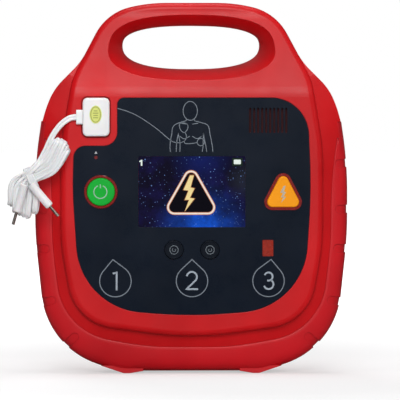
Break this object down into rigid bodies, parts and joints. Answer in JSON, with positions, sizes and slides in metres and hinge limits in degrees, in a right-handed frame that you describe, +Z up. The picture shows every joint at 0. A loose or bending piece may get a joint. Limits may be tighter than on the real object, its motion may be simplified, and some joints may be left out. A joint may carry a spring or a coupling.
{
  "type": "portable defibrillator",
  "caption": "Portable defibrillator with a loop handle, inset control panel and screen, rear battery drawer and a white electrode lead plugged in at the front.",
  "frame": {"origin": "centre of the base between the feet, on the floor plane and the parting plane of the two shells", "axes": "+X to the right seen from the front, +Y to the back (the panel faces -Y), +Z up"},
  "size_m": [0.2252, 0.0822, 0.2458],
  "materials": {
    "red_shell": "satin moulded",
    "red_rim": "soft satin",
    "black_rubber": "matte",
    "steel": "zinc plated",
    "brass": "bright",
    "grey_label": "satin film",
    "navy_panel": "satin film",
    "display_glass": "gloss",
    "display_metal": "pressed",
    "black_plastic": "matte",
    "green_cap": "satin",
    "orange_cap": "satin",
    "red_lens": "translucent tinted",
    "navy_key": "satin",
    "cloth": "woven",
    "paper_cone": "pressed",
    "circuit_board": "solder resist",
    "capacitor_can": "sleeved",
    "ferrite": "ground",
    "copper": "enamelled",
    "heatsink_metal": "extruded",
    "cell_sleeve": "sleeved",
    "white_plug": "satin moulded",
    "green_label": "coated",
    "white_rubber": "smooth",
    "pin_metal": "plated"
  },
  "bodies": {
    "housing": {"front_shell": "red_shell", "rear_shell": "red_shell", "rim_bumper": "red_rim", "housing_gasket": "black_rubber", "housing_screws": "steel", "brass_inserts": "brass", "rear_pads": "black_rubber", "rating_plate": "grey_label", "panel_overlay": "navy_panel", "display_window": "display_glass", "display_module": "display_metal", "display_frame": "black_plastic", "power_ring": "red_lens", "power_dome": "black_rubber", "shock_ring": "red_lens", "shock_dome": "black_rubber", "infrared_window": "red_lens", "status_lens": "red_lens", "grille_cloth": "cloth", "speaker_frame": "black_plastic", "speaker_cone": "paper_cone", "speaker_magnet": "steel", "front_board": "circuit_board", "tact_switches": "black_plastic", "board_leds": "red_lens", "board_ribbon": "grey_label", "main_board": "circuit_board", "board_components": "black_plastic", "board_screws": "steel", "hv_capacitor": "capacitor_can", "capacitor_clamp": "black_plastic", "transformer_core": "ferrite", "transformer_winding": "copper", "pulse_inductor": "copper", "output_relay": "black_plastic", "igbt_heatsink": "heatsink_metal", "igbt_modules": "black_plastic", "hv_leads": "white_rubber", "socket_housing": "black_plastic", "socket_contacts": "brass", "battery_terminals": "brass", "bay_seal": "black_rubber"},
    "battery": {"battery_case": "black_plastic", "battery_cover": "red_shell", "battery_cells": "cell_sleeve", "battery_contacts": "brass", "latch_spring": "steel"},
    "lead": {"plug_body": "white_plug", "plug_contacts": "brass", "plug_label": "green_label", "strain_relief": "white_rubber", "lead_cable": "white_rubber", "cable_hank": "white_rubber", "lead_end_plugs": "white_plug", "lead_pins": "pin_metal"},
    "power_cap": {"power_button": "green_cap"},
    "shock_cap": {"shock_button": "orange_cap"},
    "key_left": {"left_key": "navy_key"},
    "key_right": {"right_key": "navy_key"},
    "latch": {"battery_latch": "black_plastic"}
  },
  "joints": [
    {"name": "power_press", "type": "slide", "parent": "housing", "child": "power_cap", "axis": [0, 1, 0], "range_m": [0, 0.001], "deforming": ["power_dome"]},
    {"name": "shock_press", "type": "slide", "parent": "housing", "child": "shock_cap", "axis": [0, 1, 0], "range_m": [0, 0.001], "deforming": ["shock_dome"]},
    {"name": "left_key_press", "type": "slide", "parent": "housing", "child": "key_left", "axis": [0, 1, 0], "range_m": [0, 0.0004]},
    {"name": "right_key_press", "type": "slide", "parent": "housing", "child": "key_right", "axis": [0, 1, 0], "range_m": [0, 0.0004]},
    {"name": "battery_slide", "type": "slide", "parent": "housing", "child": "battery", "axis": [0, 1, 0], "range_m": [0, 0.03]},
    {"name": "latch_slide", "type": "slide", "parent": "battery", "child": "latch", "axis": [0, 0, -1], "range_m": [0, 0.003], "deforming": ["latch_spring"]},
    {"name": "plug_pull", "type": "slide", "parent": "housing", "child": "lead", "axis": [0, -1, 0], "range_m": [0, 0.014]}
  ]
}
